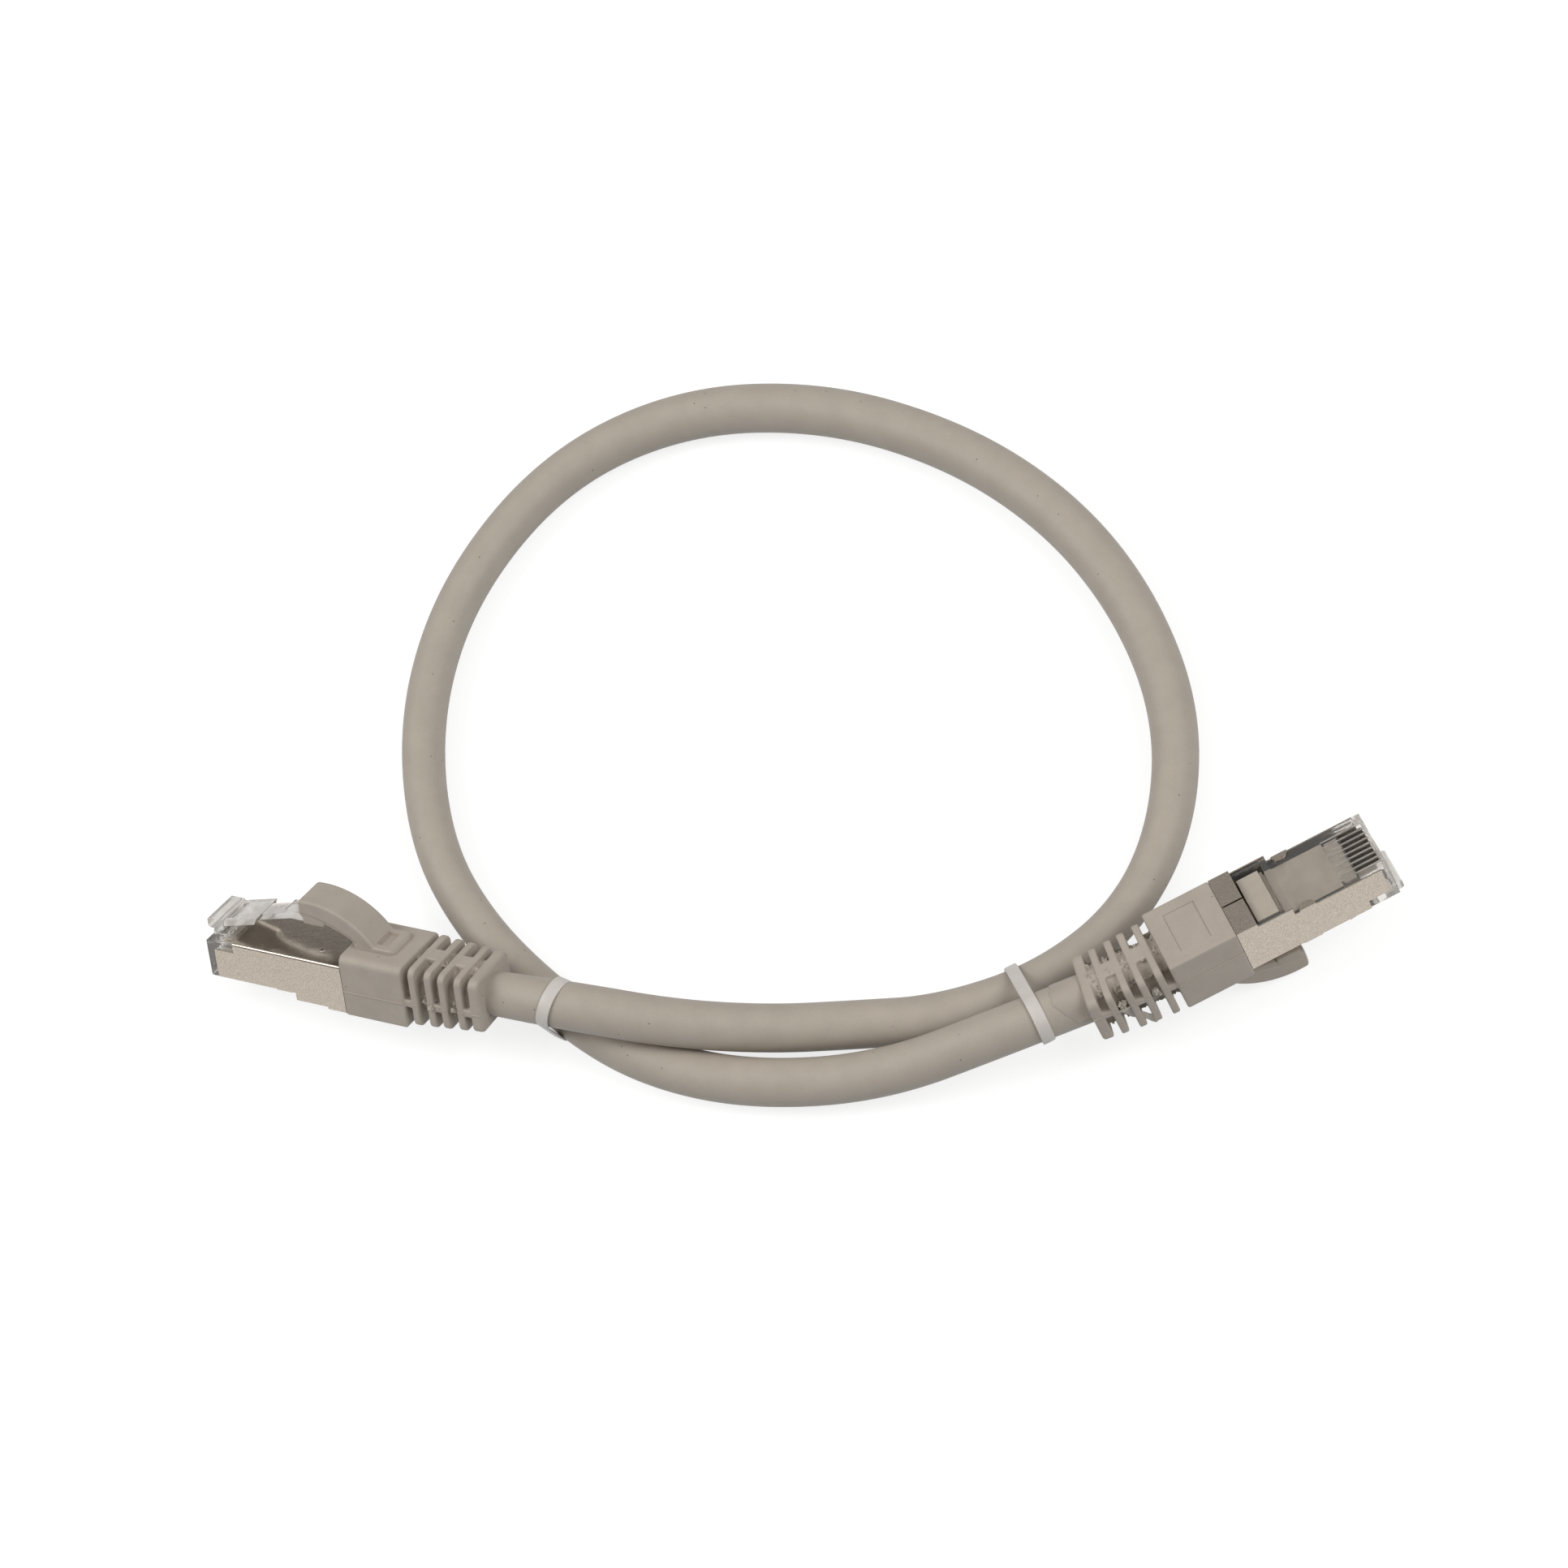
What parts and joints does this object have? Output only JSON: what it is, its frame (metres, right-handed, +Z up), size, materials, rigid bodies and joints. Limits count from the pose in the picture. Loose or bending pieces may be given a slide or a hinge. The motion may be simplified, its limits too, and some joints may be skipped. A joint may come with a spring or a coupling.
{
  "type": "ethernet patch cable",
  "caption": "Short shielded network patch cable lying in one loop, with a clear moulded plug, sprung latch and ribbed grey boot on each end.",
  "frame": {"origin": "on the surface, under the middle of the box round the two plugs", "axes": "+Z up, +X from the left plug towards the right plug, +Y towards the far side of the loop"},
  "size_m": [0.1829, 0.1255, 0.0197],
  "materials": {
    "clear_body": "clear moulded polycarbonate",
    "clear_latch": "clear moulded polycarbonate",
    "contact_metal": "plated contact blades",
    "wire_insulation": "insulated conductors",
    "load_bar": "grey moulded insert",
    "relief_bar": "pale moulded bar",
    "shell_metal": "nickel-plated folded sheet",
    "braid": "tinned wire braid",
    "ferrule": "plated crimp tube",
    "jacket_grey": "grey cable jacket",
    "boot_grey": "matt grey moulded boot",
    "guard_grey": "matt grey moulded boot",
    "cable_grey": "matt grey cable jacket",
    "core": "screened pairs",
    "band": "pale elastic band"
  },
  "bodies": {
    "cable_and_plugs": {"left_plug_housing": "clear_body", "left_contacts": "contact_metal", "left_conductors": "wire_insulation", "left_load_bar": "load_bar", "left_strain_relief_bar": "relief_bar", "left_shield_shell": "shell_metal", "left_braid_sleeve": "braid", "left_crimp_ferrule": "ferrule", "left_jacket_end": "jacket_grey", "left_boot": "boot_grey", "right_plug_housing": "clear_body", "right_contacts": "contact_metal", "right_conductors": "wire_insulation", "right_load_bar": "load_bar", "right_strain_relief_bar": "relief_bar", "right_shield_shell": "shell_metal", "right_braid_sleeve": "braid", "right_crimp_ferrule": "ferrule", "right_jacket_end": "jacket_grey", "right_boot": "boot_grey", "cable_jacket": "cable_grey", "cable_core": "core", "left_band": "band", "right_band": "band"},
    "left_latch_body": {"left_latch": "clear_latch"},
    "left_guard_body": {"left_latch_guard": "guard_grey"},
    "right_latch_body": {"right_latch": "clear_latch"},
    "right_guard_body": {"right_latch_guard": "guard_grey"}
  },
  "joints": [
    {"name": "left_guard_press", "type": "hinge", "parent": "cable_and_plugs", "child": "left_guard_body", "pos_m": [-0.06388, 0.00742, 0.01473], "axis": [0.3658, 0.7777, -0.5112], "range_deg": [-13, 0], "stiffness_Nm_per_rad": 0.05, "springref_deg": 1.15},
    {"name": "left_latch_flex", "type": "hinge", "parent": "cable_and_plugs", "child": "left_latch_body", "pos_m": [-0.08867, 0.01489, 0.00837], "axis": [0.3658, 0.7777, -0.5112], "range_deg": [0, 10]},
    {"name": "right_guard_press", "type": "hinge", "parent": "cable_and_plugs", "child": "right_guard_body", "pos_m": [0.06496, -0.00701, 0.00534], "axis": [-0.3699, 0.898, -0.2383], "range_deg": [-13, 0], "stiffness_Nm_per_rad": 0.05, "springref_deg": 1.15},
    {"name": "right_latch_flex", "type": "hinge", "parent": "cable_and_plugs", "child": "right_latch_body", "pos_m": [0.08875, 0.00404, 0.01008], "axis": [-0.3699, 0.898, -0.2383], "range_deg": [0, 10]}
  ],
  "couplings": [
    {"joint": "left_latch_flex", "follows": "left_guard_press", "ratio": -0.75},
    {"joint": "right_latch_flex", "follows": "right_guard_press", "ratio": -0.75}
  ]
}
